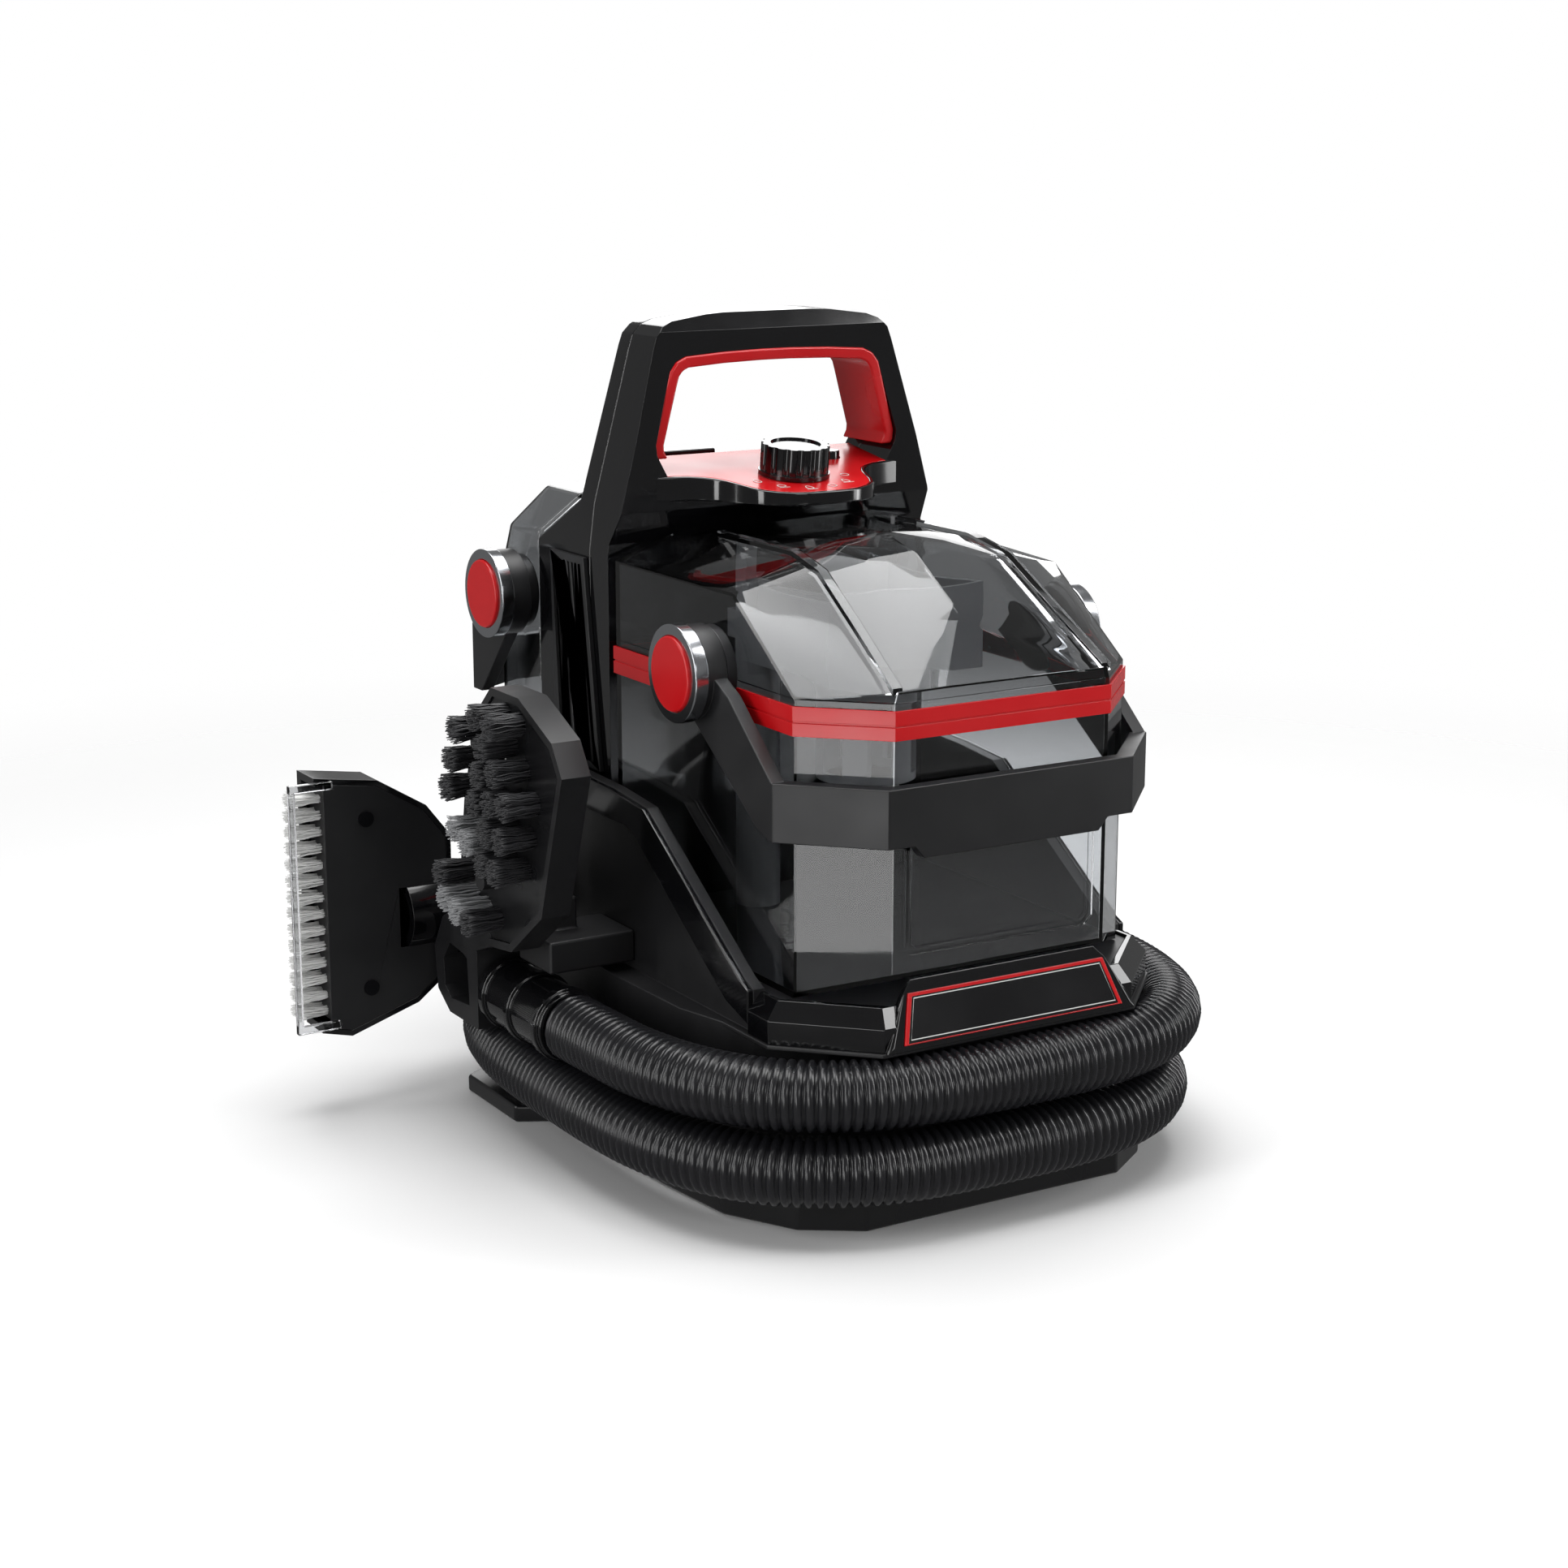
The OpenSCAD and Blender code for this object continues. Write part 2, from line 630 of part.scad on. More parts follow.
module separator_box() color(grey) {
    difference() {
        box([-42, -72, 236], [42, 10, 278]);
        box([-39, -69, 239], [39, 7, 290]);
        box([-12, -50, 230], [12, -20, 240]);
    }
    both_sides() box([42, -5, 262], [48, 5, ridge_z - tank_wall]);
    difference() {
        translate([0, -35, 182]) cylinder(h = 54, r = 24);
        translate([0, -35, 181]) cylinder(h = 52, r = 21.5);
        for (a = [0:60:300]) translate([0, -35, 186]) rotate([0, 0, a]) cube([60, 12, 34]);
    }
    difference() {
        translate([0, -35, 150]) cylinder(h = 86, r = 3);
        translate([0, -35, 149]) cylinder(h = 1, r = 2);
    }
    translate([0, -35, 150]) cylinder(h = 2, r = 8);
}

module intake_tube() color(grey) difference() {
    union() {
        translate([-26, 21.5, tank_floor_z + tank_wall]) cylinder(h = 140, r = 11);
        box([-37, 10, 244], [-15, 32, 258]);
    }
    translate([-26, 21.5, tank_floor_z + tank_wall + 3]) cylinder(h = 145, r = 9);
    box([-34, 9, 247], [-18, 22, 255]);
}

module float() color([0.9, 0.9, 0.88]) difference() {
    translate([0, -35, 152.3]) cylinder(h = 25, r = 16);
    translate([0, -35, 150]) cylinder(h = 30, r = 3.5);
}

module hub_pair(at, r) both_sides() {
    rod_x(tank_hw, 96.5, at[0], at[1], r);
    rod_x(96.5, 106.7, at[0], at[1], pin_r);
}

module ring_pair(at) both_sides() difference() {
    rod_x(107, 114, at[0], at[1], cap_ring_r);
    rod_x(110, 115, at[0], at[1], cap_r);
}

module cap_pair(at) both_sides() rod_x(110, 115.5, at[0], at[1], cap_r);

module eye_pair(at) both_sides() rod_x(bail_in_x, 107, at[0], at[1], 22);

module eye_bores(at) both_sides() rod_x(bail_in_x - 1, 108, at[0], at[1], pin_r + 0.4);

module front_hubs() color(black) hub_pair(front_hub, hub_r);

module front_bail() color(black) difference() {
    union() {
        eye_pair(front_hub);
        both_sides() along_x(bail_in_x, bail_out_x) polygon([[-44, 228], [-56, 262], [-70, 246],
            [-82, 240], [-120, 208], [-120, 181], [-108, 184]]);
        translate([0, 0, 181]) linear_extrude(27) polygon([[104, -116], [104, -121], [67, -159],
            [-67, -159], [-104, -121], [-104, -116], [-97, -116], [-97, -117], [-62, -152],
            [62, -152], [97, -117], [97, -116]]);
        along_y(-159, -152) polygon([[-54, 182], [54, 182], [48, 175], [-48, 175]]);
    }
    eye_bores(front_hub);
}

module front_bail_rings() color(grey) ring_pair(front_hub);

module front_bail_caps() color(red) cap_pair(front_hub);

// ---- rear tank ----

function rear_points(i) = [for (m = [-1, 1]) each [
    [m * (tank_hw - i), 134 + i, rear_floor_z + i], [m * (tank_hw - i), 180 - i * 0.4, rear_floor_z + i],
    [m * (70 - i * 0.4), rear_back_y - i, rear_floor_z + i],
    [m * (tank_hw - i), 134 + i, lid_side_z + 4 - i * 0.5],
    [m * (tank_hw - i), 168, lid_side_z + 4 - i * 0.5], [m * (tank_hw - i), 180 - i * 0.4, 262 - i * 0.5],
    [m * (70 - i * 0.4), rear_back_y - i, 262 - i * 0.5], [m * (66 - i * 0.4), 134 + i, 305 - i],
    [m * (66 - i * 0.4), 174 - i * 0.4, 305 - i]]];

module rear_tank_shell() color(clear) difference() {
    hull() for (p = rear_points(0)) translate(p) cube([0.01, 0.01, 0.01], center = true);
    hull() for (p = rear_points(tank_wall)) translate(p) cube([0.01, 0.01, 0.01], center = true);
}

module rear_fill_cap() color(black) translate([0, 155, 0]) {
    translate([0, 0, rear_deck_z + 0.3]) cylinder(h = rear_floor_z - rear_deck_z - 0.305, r = 18);
}

module rear_hubs() color(black) hub_pair(rear_hub, hub_r - 2);

module rear_bail() color(black) difference() {
    union() {
        eye_pair(rear_hub);
        both_sides() along_x(bail_in_x, bail_out_x) polygon([[145, 236], [158, 272], [176, 250],
            [190, 232], [190, 197], [180, 197]]);
        translate([0, 0, 197]) linear_extrude(24) polygon([[104, 182], [104, 189], [74, 207],
            [-74, 207], [-104, 189], [-104, 182], [-97, 182], [-97, 185], [-73, 200], [73, 200],
            [97, 185], [97, 182]]);
    }
    eye_bores(rear_hub);
}

module rear_bail_rings() color(grey) ring_pair(rear_hub);

module rear_bail_caps() color(red) cap_pair(rear_hub);

base_tray();
rubber_feet();
base_shell();
tank_deck();
cradle_rim();
front_bumper();
name_plate();
plate_border();
tower_front_shell();
tower_rear_shell();
handle_liner();
control_bezel();
control_panel();
control_dial();
dial_stem();
steam_button();
vent_panel_left();
vent_panel_right();
vacuum_motor();
fan_housing();
impeller();
water_pump();
steam_heater();
circuit_board();
suction_pipe();
hose_inlet_elbow();
hose();
hose_cuff();
grip_shell();
spray_trigger();
brush_tool_body();
brush_tool_plate();
brush_tufts_dark();
brush_tufts_light();
slot_gasket();
spray_nozzle();
tool_dock();
wide_tool_peg();
wide_tool_shell();
wide_tool_panel();
wide_tool_tufts();
wide_tool_lip();
wide_tool_screws();
front_bucket();
front_lid();
seal_band();
separator_box();
intake_tube();
float();
front_hubs();
front_bail();
front_bail_rings();
front_bail_caps();
rear_tank_shell();
rear_fill_cap();
rear_hubs();
rear_bail();
rear_bail_rings();
rear_bail_caps();
cord_gland();
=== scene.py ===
# %% [markdown]
# # A portable spot carpet cleaner
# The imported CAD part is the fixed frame. This script adds what the solids leave out: moulded edges,
# the corrugated hose, bristles, small prints, materials and a soft white studio.
# Front is -Y, up is +Z, lengths are in metres.

# %% Load the frame
import json
import math

import bmesh
import bpy
import numpy as np
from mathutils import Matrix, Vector

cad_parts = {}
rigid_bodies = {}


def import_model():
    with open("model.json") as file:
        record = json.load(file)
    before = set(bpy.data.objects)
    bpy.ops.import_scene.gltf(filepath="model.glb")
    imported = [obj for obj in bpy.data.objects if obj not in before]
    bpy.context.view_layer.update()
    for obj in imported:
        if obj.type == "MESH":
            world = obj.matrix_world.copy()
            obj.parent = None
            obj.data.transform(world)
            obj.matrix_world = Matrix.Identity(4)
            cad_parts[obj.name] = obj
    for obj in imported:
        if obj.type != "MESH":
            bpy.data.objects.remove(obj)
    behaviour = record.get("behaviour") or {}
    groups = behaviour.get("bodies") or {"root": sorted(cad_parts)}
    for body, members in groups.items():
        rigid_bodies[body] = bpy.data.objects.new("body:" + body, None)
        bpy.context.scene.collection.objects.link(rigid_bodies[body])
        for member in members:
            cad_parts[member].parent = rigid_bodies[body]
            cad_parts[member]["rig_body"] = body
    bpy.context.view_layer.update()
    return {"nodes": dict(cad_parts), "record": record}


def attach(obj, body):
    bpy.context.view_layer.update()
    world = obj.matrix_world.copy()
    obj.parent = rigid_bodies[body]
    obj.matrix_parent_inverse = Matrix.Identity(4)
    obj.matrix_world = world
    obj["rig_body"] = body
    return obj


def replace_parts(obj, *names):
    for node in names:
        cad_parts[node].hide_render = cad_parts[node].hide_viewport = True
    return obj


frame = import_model()
nodes = frame["nodes"]
scene = bpy.context.scene

# %% [markdown]
# ## Camera
# A 65 mm lens from the front left, a little above the tank lid.

# %% Camera
EYE = Vector((-0.7264, -1.1670, 0.4995))
LOOK_AT = Vector((-0.0372, -0.0200, 0.1790))
cam = bpy.data.objects.new("camera", bpy.data.cameras.new("camera"))
scene.collection.objects.link(cam)
cam.location = EYE
cam.rotation_mode = "QUATERNION"
cam.rotation_quaternion = (LOOK_AT - EYE).to_track_quat("-Z", "Y")
cam.data.lens, cam.data.sensor_width = 65.2, 36.0
cam.data.clip_start, cam.data.clip_end = 0.05, 50
scene.camera = cam
print("camera", round((EYE - LOOK_AT).length, 3), "m from the middle of the machine")

# %% [markdown]
# ## Tools for making meshes
# Every new piece is a set of numbered points and faces. Surfaces are grids: rows of points, each row
# joined to the next.

# %% Mesh tools
def mesh_object(name, points, faces, body, smooth=True):
    """A mesh object from arrays of points (n, 3) and of faces, riding on one CAD body, or on none."""
    mesh = bpy.data.meshes.new(name)
    mesh.from_pydata(np.asarray(points, float).tolist(), [], [list(map(int, f)) for f in faces])
    mesh.update()
    mesh.polygons.foreach_set("use_smooth", [smooth] * len(mesh.polygons))
    obj = bpy.data.objects.new(name, mesh)
    scene.collection.objects.link(obj)
    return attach(obj, body) if body else obj


def grid_faces(rows, cols, wrap_rows=False, wrap_cols=True):
    """Quads of a grid of rows x cols points; a wrapped direction joins its last line to its first."""
    i = np.arange(rows if wrap_rows else rows - 1)
    j = np.arange(cols if wrap_cols else cols - 1)
    i, j = [a.ravel() for a in np.meshgrid(i, j, indexing="ij")]
    i2, j2 = (i + 1) % rows, (j + 1) % cols
    return np.stack([i * cols + j, i * cols + j2, i2 * cols + j2, i2 * cols + j], 1)


def unit(v):
    return v / np.linalg.norm(v, axis=-1, keepdims=True)


def tube(centres, radii, sides, closed=False):
    """Points and faces of a round tube. Row i is a circle of radius radii[i] round centres[i], square to
    the path; the path is near level, so the circle's up direction is worked out from +Z."""
    centres = np.asarray(centres, float)
    if closed:
        ahead = np.roll(centres, -1, 0) - np.roll(centres, 1, 0)
    else:
        ahead = np.gradient(centres, axis=0)
    ahead = unit(ahead)
    side = unit(np.cross(ahead, [0, 0, 1.0]))
    up = np.cross(side, ahead)
    turn = np.linspace(0, 2 * np.pi, sides, endpoint=False)
    ring = np.cos(turn)[:, None] * side[:, None] + np.sin(turn)[:, None] * up[:, None]
    points = centres[:, None] + np.asarray(radii, float)[:, None, None] * ring
    return points.reshape(-1, 3), grid_faces(len(centres), sides, wrap_rows=closed)


def band(line, width, height, closed=True):
    """Points and faces of a low flat strip along a line of points that lies in a plane of normal +Z,
    'width' wide and 'height' high: a box section carried along the line."""
    line = np.asarray(line, float)
    ahead = np.roll(line, -1, 0) - np.roll(line, 1, 0) if closed else np.gradient(line, axis=0)
    ahead = unit(ahead)
    side = np.stack([ahead[:, 1], -ahead[:, 0], 0 * ahead[:, 0]], 1)
    up = np.array([0, 0, height])
    half = side * width / 2
    rows = np.stack([line - half, line - half + up, line + half + up, line + half], 1)
    return rows.reshape(-1, 3), grid_faces(len(line), 4, wrap_rows=closed)


print("mesh tools ready")

# %% [markdown]
# ## Plastics, metal and rubber
# Nearly everything here is injection moulded. A polished mould gives the gloss black that reflects
# the lamps as sharp bands; a spark-eroded mould gives the satin black of the handles. Both get a
# fine grain and slow changes of gloss, because no moulded face is perfectly even.

# %% Colour and node helpers
def colour(hex_code):
    """An sRGB hex code as linear RGBA: each channel c becomes ((c + 0.055) / 1.055) ^ 2.4, or c / 12.92
    when it is dark."""
    c = np.array([int(hex_code[i:i + 2], 16) for i in (1, 3, 5)]) / 255
    return (*np.where(c > 0.04045, ((c + 0.055) / 1.055) ** 2.4, c / 12.92), 1.0)


def add(owner, kind, values=None, links=None, **settings):
    """Adds one node to a material or world: its settings, the values of its sockets, and links from
    other nodes' sockets."""
    made = owner.node_tree.nodes.new(kind)
    for key, value in settings.items():
        setattr(made, key, value)
    for key, value in (values or {}).items():
        made.inputs[key].default_value = value
    for key, source in (links or {}).items():
        owner.node_tree.links.new(source, made.inputs[key])
    return made


def start(name):
    """A new material whose only node is a Texture Coordinate node, and the socket of its Object coordinates.
    """
    mat = bpy.data.materials.new(name)
    mat.use_nodes = True
    mat.node_tree.nodes.clear()
    return mat, add(mat, "ShaderNodeTexCoord").outputs["Object"]


def per_mm(size_mm):
    """The scale that makes one feature of a texture size_mm wide, on Object coordinates in metres."""
    return 1000 / size_mm

print("colour and node helpers ready")

# %% Kinds of plastic and metal
def moulded_plastic(name, base, light, gloss, grain_mm, grain_um, patch_mm=35, coat=0.0):
    """Plastic from a mould: colour drifts from base to light over patches of patch_mm, roughness stays
    between the two numbers of gloss, and a noise of grain_mm stands grain_um thousandths of a mm high."""
    mat, place = start(name)
    patches = add(mat, "ShaderNodeTexNoise", {"Scale": per_mm(patch_mm), "Detail": 2.0}, {"Vector": place})
    tone = add(mat, "ShaderNodeMix", {"A": colour(base), "B": colour(light)},
               {"Factor": patches.outputs["Fac"]}, data_type="RGBA")
    rough = add(mat, "ShaderNodeMapRange",
                {"From Min": 0.3, "From Max": 0.7, "To Min": gloss[0], "To Max": gloss[1]},
                {"Value": patches.outputs["Fac"]})
    grain = add(mat, "ShaderNodeTexNoise", {"Scale": per_mm(grain_mm), "Detail": 3.0}, {"Vector": place})
    bump = add(mat, "ShaderNodeBump", {"Strength": 1.0, "Distance": grain_um * 1e-6},
               {"Height": grain.outputs["Fac"]})
    shader = add(mat, "ShaderNodeBsdfPrincipled",
                 {"IOR": 1.52, "Coat Weight": coat, "Coat Roughness": 0.04},
                 {"Base Color": tone.outputs["Result"], "Roughness": rough.outputs["Result"],
                  "Normal": bump.outputs["Normal"]})
    add(mat, "ShaderNodeOutputMaterial", links={"Surface": shader.outputs["BSDF"]})
    return mat


def clear_plastic(name, tint, ripple_um, roughness):
    """Clear moulded polycarbonate with both faces of its wall modelled: light bends at each face, tint
    is what one face lets through, and a slow ripple from the mould bends the reflections a little."""
    mat, place = start(name)
    flow = add(mat, "ShaderNodeTexNoise", {"Scale": per_mm(28), "Detail": 1.0}, {"Vector": place})
    bump = add(mat, "ShaderNodeBump", {"Strength": 1.0, "Distance": ripple_um * 1e-6},
               {"Height": flow.outputs["Fac"]})
    haze = add(mat, "ShaderNodeMapRange",
               {"From Min": 0.3, "From Max": 0.7, "To Min": roughness, "To Max": roughness + 0.03},
               {"Value": flow.outputs["Fac"]})
    shader = add(mat, "ShaderNodeBsdfPrincipled",
                 {"Base Color": colour(tint), "IOR": 1.46, "Transmission Weight": 1.0},
                 {"Roughness": haze.outputs["Result"], "Normal": bump.outputs["Normal"]})
    add(mat, "ShaderNodeOutputMaterial", links={"Surface": shader.outputs["BSDF"]})
    return mat


def metal(name, base, gloss, brush_mm):
    """Bare or plated metal: roughness follows a noise stretched along X, as brushing or drawing leaves it."""
    mat, place = start(name)
    stretch = add(mat, "ShaderNodeMapping", {"Scale": (0.08, 1.0, 1.0)}, {"Vector": place})
    lines = add(mat, "ShaderNodeTexNoise", {"Scale": per_mm(brush_mm), "Detail": 3.0},
                {"Vector": stretch.outputs["Vector"]})
    rough = add(mat, "ShaderNodeMapRange", {"To Min": gloss[0], "To Max": gloss[1]},
                {"Value": lines.outputs["Fac"]})
    shader = add(mat, "ShaderNodeBsdfPrincipled", {"Base Color": colour(base), "Metallic": 1.0},
                 {"Roughness": rough.outputs["Result"]})
    add(mat, "ShaderNodeOutputMaterial", links={"Surface": shader.outputs["BSDF"]})
    return mat


print("kinds of finish ready")

# %% The finishes of this machine
finish = {
    # Polished black ABS: near mirror, with the faint waviness that makes lamp edges soft.
    "gloss_abs": moulded_plastic("polished_black_abs", "#08080a", "#0d0d0f", (0.07, 0.13), 6.0, 6, coat=0.25),
    # Spark-eroded black ABS: the grain of about 0.4 mm spreads a lamp into a grey sheen.
    "satin_abs": moulded_plastic("satin_black_abs", "#161618", "#1c1c1e", (0.36, 0.46), 0.4, 14),
    "black_abs": moulded_plastic("tray_black_abs", "#101012", "#161618", (0.24, 0.34), 0.6, 10),
    # Coloured-through red ABS, polished: a clear highlight over a saturated body colour.
    "red_abs": moulded_plastic("polished_red_abs", "#c90f16", "#d4151b", (0.20, 0.28), 0.8, 6),
    "plate_dark": moulded_plastic("printed_dark_plate", "#0c0c0e", "#121214", (0.18, 0.26), 0.3, 3),
    "grey_plastic": moulded_plastic("grey_polypropylene", "#6f7072", "#7c7d7f", (0.30, 0.42), 0.5, 8),
    "white_plastic": moulded_plastic("white_polypropylene", "#d8d8d4", "#e4e4e0", (0.30, 0.42), 0.5, 8),
    "foot_rubber": moulded_plastic("moulded_foot_rubber", "#121212", "#1a1a1a", (0.62, 0.80), 0.5, 30),
    "cord_rubber": moulded_plastic("moulded_gland_rubber", "#121212", "#1a1a1a", (0.55, 0.70), 0.5, 25),
    # Blow-moulded polyethylene: waxy, so the highlight on each rib is broad and weak.
    "hose_plastic": moulded_plastic("blown_black_polyethylene", "#17171a", "#202023", (0.22, 0.30), 0.5, 8,
                                    patch_mm=60),
    "board_laminate": moulded_plastic("green_board_laminate", "#1d5a34", "#246b3e", (0.30, 0.45), 0.4, 6),
    "bristle_dark": moulded_plastic("dark_nylon_bristle", "#2a2a2c", "#3c3c3f", (0.40, 0.52), 0.5, 6,
                                    patch_mm=5),
    "bristle_grey": moulded_plastic("grey_nylon_bristle", "#8d8e90", "#a4a5a7", (0.40, 0.52), 0.5, 6,
                                    patch_mm=5),
    "bristle_white": moulded_plastic("white_nylon_bristle", "#e6e6e4", "#f4f4f3", (0.36, 0.48), 0.5, 6,
                                     patch_mm=5),
    # Pad-printed ink: a matt pale film.
    "print_ink": moulded_plastic("white_pad_print_ink", "#d9d9d7", "#e6e6e4", (0.45, 0.6), 0.3, 4),
    "gasket_pale": moulded_plastic("flocked_gasket_edge", "#1a1a1c", "#222224", (0.70, 0.85), 0.4, 40),
    # Smoky polycarbonate: the tint adds up over the faces that a line of sight passes.
    "clear_tank": clear_plastic("smoky_polycarbonate", "#e2e4e6", 12, 0.01),
    "clear_lip": clear_plastic("clear_moulded_lip", "#d6d7d9", 10, 0.04),
    "motor_steel": metal("zinc_plated_steel", "#9a9b9e", (0.26, 0.42), 0.6),
    "fan_aluminium": metal("stamped_aluminium", "#c2c4c7", (0.24, 0.38), 0.5),
    "heater_aluminium": metal("cast_aluminium", "#a9abae", (0.42, 0.60), 1.2),
    "screw_steel": metal("black_zinc_steel", "#2b2b2e", (0.30, 0.45), 0.5),
    # Vacuum-metallised ring: a satin chrome that shows the lamps as a thin bright edge.
    "ring_chrome": metal("metallised_ring", "#b9bbbf", (0.14, 0.22), 0.5),
}
slot_of = {s["node"]: s["material_slot"] for s in frame["record"]["subparts"]}
for name, obj in nodes.items():
    obj.data.materials.clear()
    obj.data.materials.append(finish[slot_of[name]])
print(len(finish), "finishes on", len(nodes), "nodes")

# %% [markdown]
# ## Moulded edges
# No mould leaves a knife edge, and the bright line of a lamp along a rounded edge is what tells the
# eye that a thing is made of plastic. Each shell's solid is copied, its loose triangles are joined
# into whole faces, and a bevel of the real edge radius rounds every corner.

# %% Round the edges of each moulded piece
def moulded(node, radius_mm, segments=3):
    """A copy of a CAD node with its edges rounded to radius_mm, standing in for that node."""
    mesh = nodes[node].data.copy()
    work = bmesh.new()
    work.from_mesh(mesh)
    bmesh.ops.remove_doubles(work, verts=work.verts, dist=4e-6)
    bmesh.ops.dissolve_limit(work, angle_limit=math.radians(0.6), verts=work.verts, edges=work.edges)
    work.to_mesh(mesh)
    work.free()
    for layer in list(mesh.attributes):
        if layer.name == "custom_normal":
            mesh.attributes.remove(layer)
    mesh.polygons.foreach_set("use_smooth", [True] * len(mesh.polygons))
    obj = bpy.data.objects.new(node + "_moulded", mesh)
    scene.collection.objects.link(obj)
    bevel = obj.modifiers.new("edge radius", "BEVEL")
    bevel.width, bevel.segments = radius_mm / 1000, segments
    bevel.limit_method, bevel.angle_limit = "ANGLE", math.radians(24)
    bevel.miter_outer = "MITER_ARC"
    bevel.use_clamp_overlap = True
    even = obj.modifiers.new("even shading", "WEIGHTED_NORMAL")
    even.keep_sharp = True
    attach(obj, nodes[node]["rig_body"])
    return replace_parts(obj, node)


EDGE_MM = {
    "tower_front_shell": 3.0, "tower_rear_shell": 3.0, "handle_liner": 1.2, "control_bezel": 1.1,
    "control_panel": 0.4, "base_tray": 1.6, "base_shell": 1.2, "tank_deck": 1.0, "cradle_rim": 0.8,
    "front_bumper": 1.4, "plate_border": 0.25, "name_plate": 0.2, "vent_panel_left": 0.6,
    "vent_panel_right": 0.6, "hose_cuff": 0.7, "hose_inlet_elbow": 0.9, "grip_shell": 2.4,
    "spray_trigger": 0.8, "brush_tool_body": 1.4, "brush_tool_plate": 0.4, "tool_dock": 1.4,
    "wide_tool_shell": 1.0, "wide_tool_panel": 0.6, "wide_tool_lip": 0.4, "front_bucket": 1.1,
    "front_lid": 1.1, "seal_band": 0.3, "separator_box": 0.7, "front_bail": 2.8, "rear_bail": 2.8,
    "front_bail_rings": 0.7, "rear_bail_rings": 0.7, "front_bail_caps": 0.9, "rear_bail_caps": 0.9,
    "rear_tank_shell": 2.0, "control_dial": 0.5, "steam_button": 0.6, "front_hubs": 0.8,
    "rear_hubs": 0.8, "float": 0.8, "cord_gland": 0.6, "rubber_feet": 0.8,
}
rounded = {node: moulded(node, mm) for node, mm in EDGE_MM.items()}
print("rounded", len(rounded), "pieces; widest radius", max(EDGE_MM.values()), "mm")

# %% [markdown]
# ## The hose
# A blown polyethylene hose is a row of fine ribs. Its path is a rounded rectangle, once round high
# and then down and round again low, into the elbow at the rear. The tube's radius goes up and down
# along that path once per rib, so the ribs are real and show in the outline.

# %% Path of the hose
HOSE_D = 0.033
LOOP_HALF_W, LOOP_HALF_L, LOOP_MID_Y = 0.145, 0.1705, 0.0055
HIGH_Z, LOW_Z, LOW_SHIFT = 0.069, 0.0335, 0.004
CUFF_END = [-LOOP_HALF_W, -0.003, HIGH_Z]
ELBOW_END = [0.056, 0.1735, LOW_Z]


def loop_point(turn_deg):
    """A super-ellipse of power 3: each coordinate is its half size times the signed cos or sin to the
    power 2/3. The height eases from the high loop to the low one between 450 and 510 degrees, and the
    low loop is 8 mm narrower on its right side."""
    a = np.radians(turn_deg)
    cos_part, sin_part = [np.sign(v) * np.abs(v) ** (2 / 3) for v in (np.cos(a), np.sin(a))]
    drop = np.clip((turn_deg - 450) / 60, 0, 1)
    drop = (1 - np.cos(np.pi * drop)) / 2
    across = (LOOP_HALF_W - LOW_SHIFT * drop) * cos_part - LOW_SHIFT * drop
    return np.stack([across, LOOP_MID_Y + LOOP_HALF_L * sin_part, HIGH_Z + (LOW_Z - HIGH_Z) * drop], 1)


def evenly(points, step):
    """The same path with points every step metres along it."""
    along = np.concatenate([[0], np.cumsum(np.linalg.norm(np.diff(points, axis=0), axis=1))])
    at = np.linspace(0, along[-1], max(2, round(along[-1] / step)))
    return np.stack([np.interp(at, along, points[:, i]) for i in range(3)], 1), along[-1]


rough_path = np.vstack([[CUFF_END], loop_point(np.linspace(192, 788, 4000)), [ELBOW_END]])

# %% Corrugated skin of the hose
HOSE_SIDES = 18
RIB_PITCH, RIB_DEPTH = 0.0048, 0.0026
rib_shape = np.array([0.0, 0.6, 0.95, 1.0, 0.95, 0.6])  # one rib from valley to crest and back
skin_path, _ = evenly(rough_path, RIB_PITCH / len(rib_shape))
heights = np.resize(rib_shape, len(skin_path))
hose = mesh_object("hose_corrugated", *tube(skin_path, HOSE_D / 2 - RIB_DEPTH * (1 - heights), HOSE_SIDES),
                   "chassis")
hose.data.materials.append(finish["hose_plastic"])
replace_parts(hose, "hose")

# %% [markdown]
# ## Bristles
# A tuft is a bunch of nylon threads stapled into one hole, so it is tight at the root and open at
# the tip. Each thread is a thin three-sided rod with a slight crimp.

# %% Tufts of the brush tool and the wide tool
rng = np.random.default_rng(7)


